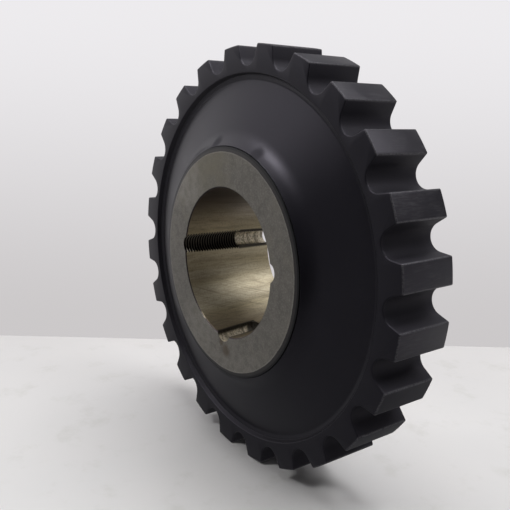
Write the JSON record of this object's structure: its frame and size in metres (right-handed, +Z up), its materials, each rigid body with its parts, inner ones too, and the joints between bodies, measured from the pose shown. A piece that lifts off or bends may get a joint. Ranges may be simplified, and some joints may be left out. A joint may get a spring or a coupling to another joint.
{
  "type": "flexible coupling element",
  "caption": "Flexible shaft coupling element: a dished rubber disc with a toothed rim, bonded to a steel hub that is bored to a taper for a clamping bush.",
  "frame": {"origin": "on the hub's axis, half way along the hub", "axes": "the hub's axis lies along Y; -Y is the front, where the large end of the taper is; +Z is up, with the part on two teeth and the blind half-hole at the bottom; +X is to the right seen from the front"},
  "size_m": [0.302, 0.0762, 0.302],
  "materials": {
    "hub_steel": "machined, matt",
    "rubber": "satin, moulded"
  },
  "bodies": {
    "root": {"hub": "hub_steel", "rubber_disc": "rubber"}
  },
  "joints": []
}
